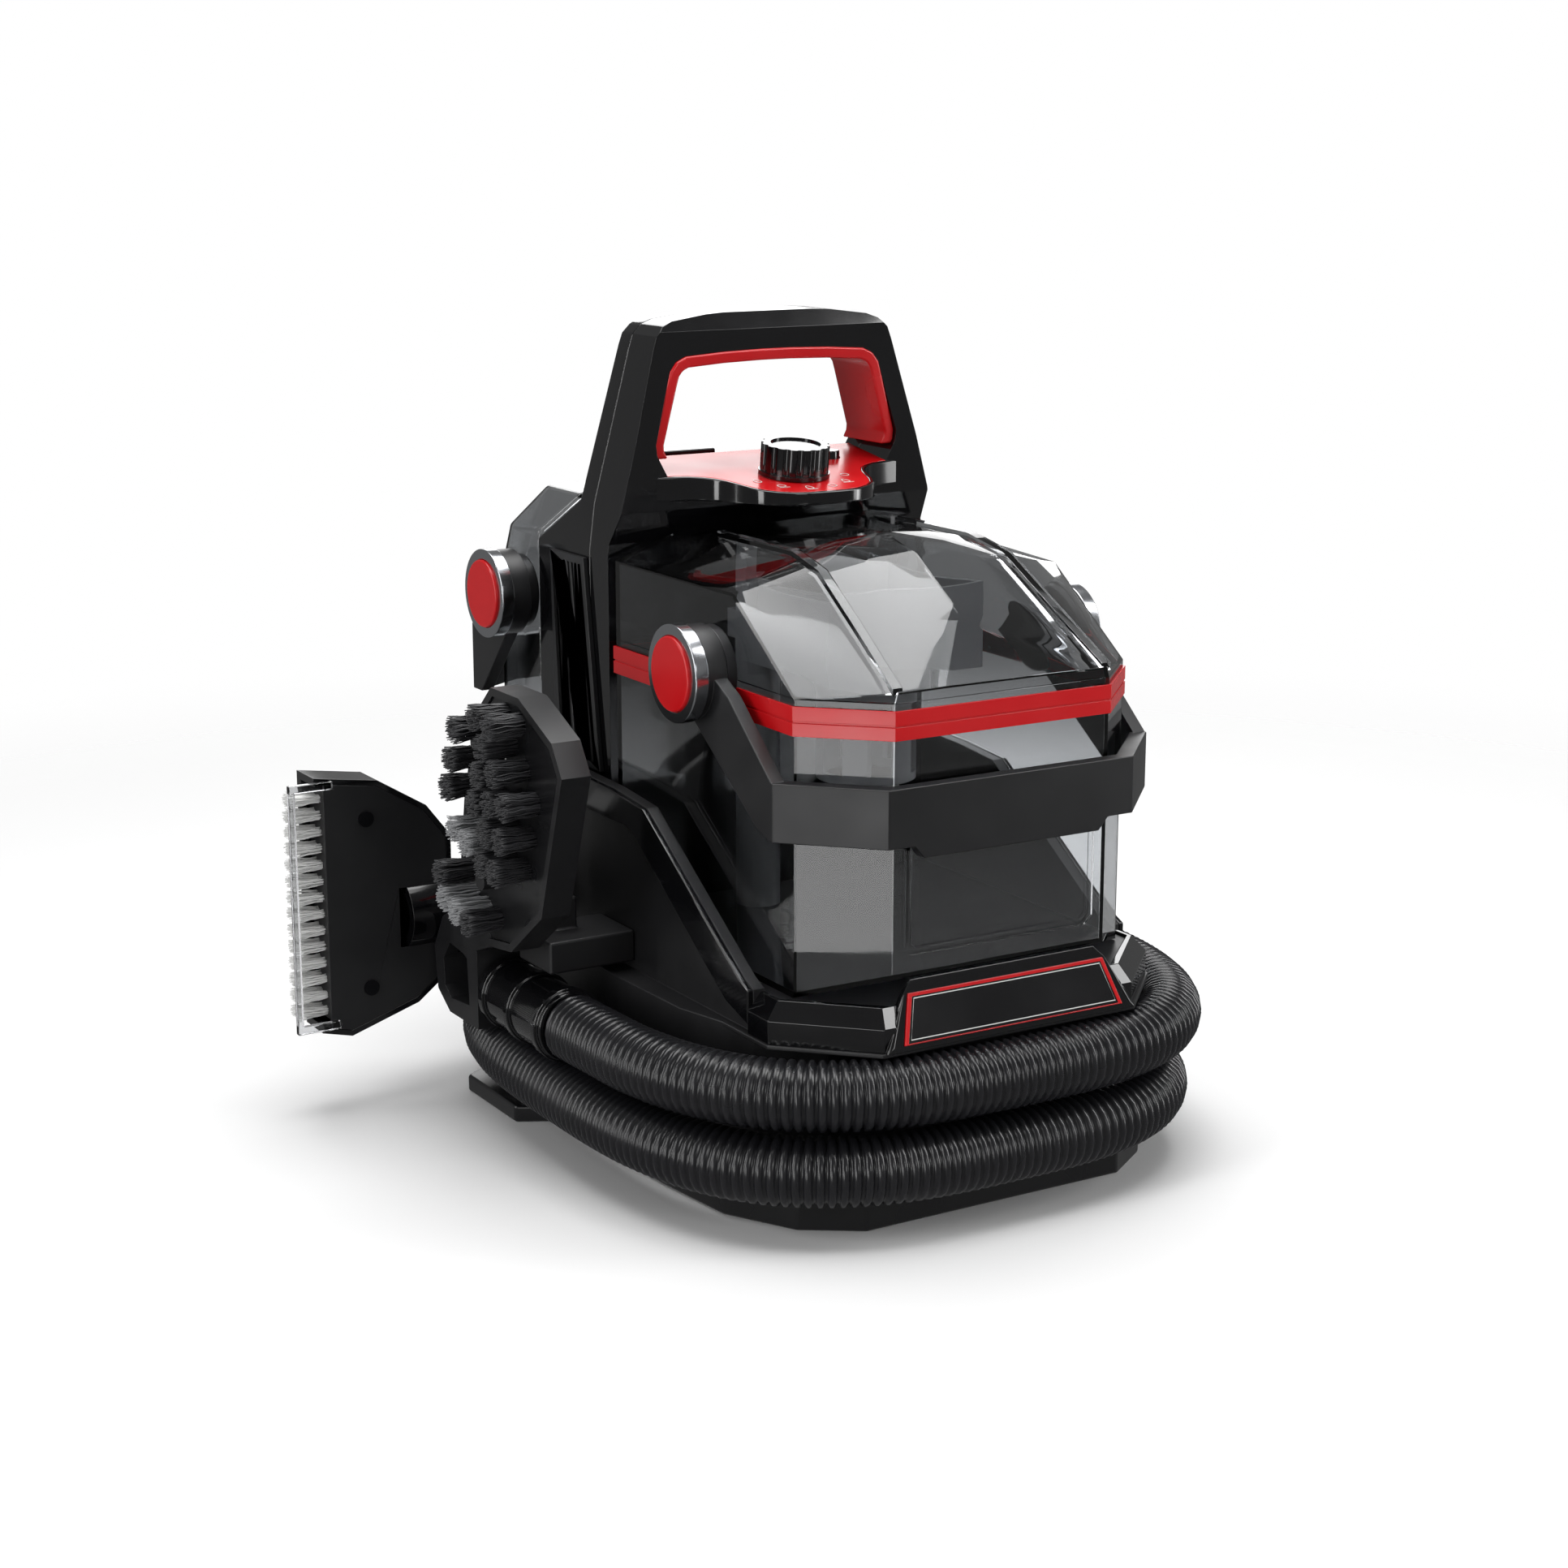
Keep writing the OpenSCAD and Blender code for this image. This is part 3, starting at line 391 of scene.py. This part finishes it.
def bristle_tufts(roots, length, root_r, tip_r, threads, thread_r):
    """Points and faces of tufts that point along -X. A thread starts inside root_r of its tuft's root
    and ends the same share of tip_r away, with a small wave across; rows of three points, and a closed
    tip."""
    roots = np.repeat(np.asarray(roots, float), threads, 0)
    n = len(roots)
    share = np.sqrt(rng.random(n))
    turn = rng.random(n) * 2 * np.pi
    out = np.stack([0 * share, share * np.cos(turn), share * np.sin(turn)], 1)
    reach = length * (1 - 0.08 * rng.random(n)) * (1 - 0.05 * share ** 2)
    steps = np.array([0.0, 0.3, 0.55, 0.8, 1.0])
    wave = 0.25 * thread_r * np.sin(9 * steps[None] + turn[:, None] * 5)
    lean = root_r + (tip_r - root_r) * steps ** 1.4
    centre = roots[:, None] + out[:, None] * lean[None, :, None]
    centre[..., 0] -= reach[:, None] * steps[None]
    centre[..., 2] += wave * 4
    corner = np.radians([90, 210, 330])
    thick = thread_r * np.array([1, 1, 1, 0.95, 0.75])
    ring = np.stack([0 * corner, np.cos(corner), np.sin(corner)], 1)
    points = centre[:, :, None] + thick[None, :, None, None] * ring[None, None]
    one = grid_faces(len(steps), 3)
    count = len(steps) * 3
    faces = (one[None] + count * np.arange(n)[:, None, None]).reshape(-1, 4).tolist()
    tip = (len(steps) - 1) * 3
    faces += [[count * i + tip, count * i + tip + 1, count * i + tip + 2] for i in range(n)]
    return points.reshape(-1, 3), faces


LEAN = math.radians(18)
BRUSH_MIDDLE = np.array([-0.1640, 0.0220, 0.1600])


def on_brush(pairs_mm):
    """Places given in mm across and along the leaning tool, as points in the machine's frame."""
    v, w = np.array(pairs_mm, float).T / 1000
    turned = [v * math.cos(LEAN) - w * math.sin(LEAN), v * math.sin(LEAN) + w * math.cos(LEAN)]
    return BRUSH_MIDDLE + np.stack([0 * v, *turned], 1)


DARK_TUFTS = [[37.8, 40], [38.5, 24], [38.5, 8], [8.5, 46], [9, 31], [9, 16], [-6, 40], [-6, 24],
              [-6, 8], [-20, 30], [-21, 12], [-20, -6], [19, 56.5], [4, 59.5], [-7, -9], [34.5, -38],
              [0, -46]]
LIGHT_TUFTS = [[26, -8], [12, -8], [27, -48], [13, -47.5]]
BRUSH_THREADS = {"length": 0.020, "root_r": 0.0054, "tip_r": 0.0068, "threads": 150, "thread_r": 0.00036}
for piece, centres, slot_name in (("brush_tufts_dark", DARK_TUFTS, "bristle_dark"),
                                  ("brush_tufts_light", LIGHT_TUFTS, "bristle_grey")):
    threads = bristle_tufts(on_brush(centres), **BRUSH_THREADS)
    made = mesh_object(piece + "_threads", *threads, "chassis")
    made.data.materials.append(finish[slot_name])
    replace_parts(made, piece)
    print(piece, len(made.data.polygons), "faces")

WIDE_TUFTS = 14
WIDE_ROOT_X, WIDE_LOW_Z, WIDE_ROW = -0.219, 0.054, 0.110
wide_roots = [[WIDE_ROOT_X, y, WIDE_LOW_Z + i * WIDE_ROW / (WIDE_TUFTS - 1)]
              for i in range(WIDE_TUFTS) for y in (0.126, 0.133)]
WIDE_THREADS = {"length": 0.0165, "root_r": 0.0022, "tip_r": 0.0036, "threads": 60, "thread_r": 0.00026}
made = mesh_object("wide_tool_tufts_threads", *bristle_tufts(wide_roots, **WIDE_THREADS), "wide_tool")
made.data.materials.append(finish["bristle_white"])
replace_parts(made, "wide_tool_tufts")
print("wide tool", len(made.data.polygons), "faces")

# %% [markdown]
# ## Small prints
# The real machine carries printed symbols and outlines; plain generic ones stand in for them, as thin
# raised lines of ink: small rings and drops round the dial, a fine outline inside the plate's border
# and short dashes round the spray slot.

# %% Ink lines
INK = 0.00012


def ink(name, lines, width, to_frame):
    """Thin strips of ink: each line is a closed or open row of (u, v) places in metres, carried on a
    flat face; to_frame turns rows of (u, v, height) into the machine's frame."""
    points, faces = [], []
    for line, closed in lines:
        flat = np.column_stack([np.asarray(line, float), np.zeros(len(line))])
        pts, quads = band(flat, width, INK, closed)
        faces += (quads + sum(len(p) for p in points)).tolist()
        points.append(to_frame(pts))
    made = mesh_object(name, np.vstack(points), faces, "chassis", smooth=False)
    made.data.materials.append(finish["print_ink"])
    return made


def circle(u, v, r, n=20):
    """A ring of n places, r from (u, v)."""
    turn = np.linspace(0, 2 * np.pi, n, endpoint=False)
    return np.stack([u + r * np.cos(turn), v + r * np.sin(turn)], 1)


print("ink helpers ready")

# %% Symbols round the dial
TILT = math.radians(7)
DIAL_Y, PANEL_Z = 0.0326, 0.3211  # the dial's middle, 0.1 mm above the red panel


def on_panel(p):
    """(u across, v rearwards, height) round the dial, on the red panel, which is tilted by TILT."""
    y = DIAL_Y + p[:, 1] * math.cos(TILT) - p[:, 2] * math.sin(TILT)
    z = PANEL_Z + p[:, 1] * math.sin(TILT) + p[:, 2] * math.cos(TILT)
    return np.stack([p[:, 0], y, z], 1)


def drop_shape(u, v, r):
    """A water drop: an upright oval whose half width shrinks by 1 - 0.45 (1 + sin) / 2 towards its top."""
    turn = np.linspace(0, 2 * np.pi, 24, endpoint=False)
    thin = 1 - 0.45 * (1 + np.sin(turn)) / 2
    return np.stack([u + r * np.cos(turn) * thin, v + r * np.sin(turn) * 1.25], 1)


MARK_R = 0.0262  # from the dial's middle to the symbols
UNDERLINED = (1, 2, 4)
dial_marks = []
for k, around in enumerate(np.radians([196, 226, 256, 286, 316, 344])):
    u, v = MARK_R * math.cos(around), MARK_R * math.sin(around)
    shape = drop_shape(u, v, 0.0022) if k % 2 == 0 else circle(u, v, 0.0021)
    dial_marks.append((shape, True))
    if k in UNDERLINED:
        dial_marks.append(([[u - 0.003, v - 0.0032], [u + 0.003, v - 0.0032]], False))
ink("dial_symbols", dial_marks, 0.0004, on_panel)


print("dial symbols:", len(dial_marks), "lines")

# %% Outline on the plate, and dashes round the spray slot
PLATE_LEAN = math.atan(0.36)
PLATE_FOOT = (-0.163, 0.091)  # y and z where the pod's sloped face starts
PLATE_SKIN = 0.0009


def on_plate(p):
    """(u across, v up the slope, height) on the name plate, which leans back by PLATE_LEAN."""
    along, out = p[:, 1], p[:, 2] + PLATE_SKIN
    y = PLATE_FOOT[0] + along * math.sin(PLATE_LEAN) - out * math.cos(PLATE_LEAN)
    z = PLATE_FOOT[1] + along * math.cos(PLATE_LEAN) + out * math.sin(PLATE_LEAN)
    return np.stack([p[:, 0], y, z], 1)


plate_outline = [[-0.0569, 0.0021], [0.0569, 0.0021], [0.0518, 0.0203], [-0.0518, 0.0203]]
ink("plate_outline", [(plate_outline, True)], 0.00045, on_plate)


SLOT_AT = (0.0372, 0.1891)
PLATE_X = -0.1641  # just outside the brush tool's plate
DASH_OUT, DASH_HALF = 0.0092, 0.0016


def on_slot(p):
    """(u across, v along, height) round the spray slot of the brush tool, leaning as the tool does."""
    y = SLOT_AT[0] + p[:, 0] * math.cos(LEAN) - p[:, 1] * math.sin(LEAN)
    z = SLOT_AT[1] + p[:, 0] * math.sin(LEAN) + p[:, 1] * math.cos(LEAN)
    return np.stack([PLATE_X - p[:, 2], y, z], 1)


dashes = [([[side * DASH_OUT, v - DASH_HALF], [side * DASH_OUT, v + DASH_HALF]], False)
          for side in (-1, 1) for v in np.linspace(-0.018, 0.018, 7)]
ink("slot_dashes", dashes, 0.0009, on_slot)
print("ink lines:", len(dial_marks) + 1 + len(dashes))

# %% [markdown]
# ## Studio
# A pale floor that fades into a white room, one large lamp above, a long lamp at each side for the
# bright lines on the gloss black, and a weak one in front. Five cards only show in glossy faces.

# %% Floor, room and lamps
def pale_floor():
    """The floor's material: matt white paint with a very slow change of tone. Between 0.55 and 1.25 m
    from the middle it thins out into the white room, so there is no horizon."""
    mat, place = start("matt_white_floor")
    drift = add(mat, "ShaderNodeTexNoise", {"Scale": per_mm(900)}, {"Vector": place})
    tone = add(mat, "ShaderNodeMix", {"A": colour("#f6f6f6"), "B": colour("#fafafa")},
               {"Factor": drift.outputs["Fac"]}, data_type="RGBA")
    shader = add(mat, "ShaderNodeBsdfPrincipled", {"Roughness": 0.9, "Specular IOR Level": 0.1},
                 {"Base Color": tone.outputs["Result"]})
    far = add(mat, "ShaderNodeVectorMath", links={0: place}, operation="LENGTH")
    fade = add(mat, "ShaderNodeMapRange", {"From Min": 0.55, "From Max": 1.25},
               {"Value": far.outputs["Value"]}, interpolation_type="SMOOTHSTEP")
    gone = add(mat, "ShaderNodeBsdfTransparent")
    mix = add(mat, "ShaderNodeMixShader",
              links={"Fac": fade.outputs["Result"], 1: shader.outputs["BSDF"], 2: gone.outputs["BSDF"]})
    add(mat, "ShaderNodeOutputMaterial", links={"Surface": mix.outputs["Shader"]})
    return mat


FLOOR_HALF, FLOOR_ROWS = 1.5, 9
across = np.linspace(-FLOOR_HALF, FLOOR_HALF, FLOOR_ROWS)
xx, yy = [a.ravel() for a in np.meshgrid(across, across, indexing="ij")]
floor_faces = grid_faces(FLOOR_ROWS, FLOOR_ROWS, wrap_cols=False)[:, ::-1]
floor = mesh_object("floor", np.stack([xx, yy, 0 * xx], 1), floor_faces, None)
floor.data.materials.append(pale_floor())
floor.visible_glossy = False
print("floor", 2 * FLOOR_HALF, "m across")

# %% Lamps and cards
def softbox(name, place, aim, width, height, power):
    """A rectangular lamp at place, facing aim."""
    data = bpy.data.lights.new(name, "AREA")
    data.shape, data.size, data.size_y, data.energy = "RECTANGLE", width, height, power
    lamp = bpy.data.objects.new(name, data)
    scene.collection.objects.link(lamp)
    lamp.location = place
    lamp.rotation_mode = "QUATERNION"
    lamp.rotation_quaternion = (Vector(aim) - Vector(place)).to_track_quat("-Z", "Y")
    return lamp


def light_card(name, place, aim, width, height, power):
    """A lamp that only shows in glossy faces, as a white card beside a product does: it draws a bright
    shape on the gloss plastic and adds no light to the matt things round it."""
    card = softbox(name, place, aim, width, height, power)
    card.visible_camera = card.visible_diffuse = card.visible_transmission = False
    return card


MIDDLE = (0, 0, 0.2)
softbox("top_lamp", (0.1, 0.2, 1.9), MIDDLE, 1.6, 1.6, 38)
softbox("left_lamp", (-1.7, -0.3, 0.75), MIDDLE, 0.35, 1.6, 11)
softbox("right_lamp", (1.5, -0.9, 0.7), MIDDLE, 0.5, 1.5, 10)
softbox("front_lamp", (0.2, -2.0, 0.9), MIDDLE, 0.7, 0.5, 5)
light_card("low_left_card", (-0.43, -0.36, 0.085), (-0.075, -0.134, 0.16), 0.11, 0.16, 0.26)
light_card("rear_card", (0.95, 1.65, 0.78), MIDDLE, 1.3, 0.7, 8)
light_card("high_right_card", (1.15, -0.9, 1.75), MIDDLE, 0.6, 0.6, 9)
light_card("left_strip", (-1.1, 0.5, 0.5), MIDDLE, 0.08, 1.1, 4.0)
light_card("right_strip", (0.9, -0.5, 0.5), MIDDLE, 0.08, 1.1, 1.8)

# %% White room
WHITE = (1, 1, 1, 1)
world = bpy.data.worlds.new("white room")
scene.world = world
world.use_nodes = True
world.node_tree.nodes.clear()
rays = add(world, "ShaderNodeLightPath")
lit = add(world, "ShaderNodeBackground", {"Color": WHITE, "Strength": 0.18})
seen = add(world, "ShaderNodeBackground", {"Color": WHITE})
pick = add(world, "ShaderNodeMixShader",
           links={0: rays.outputs["Is Camera Ray"], 1: lit.outputs[0], 2: seen.outputs[0]})
add(world, "ShaderNodeOutputWorld", links={"Surface": pick.outputs[0]})
scene.view_settings.view_transform = "Standard"
print("the room gives", lit.inputs["Strength"].default_value, "of its white as light")
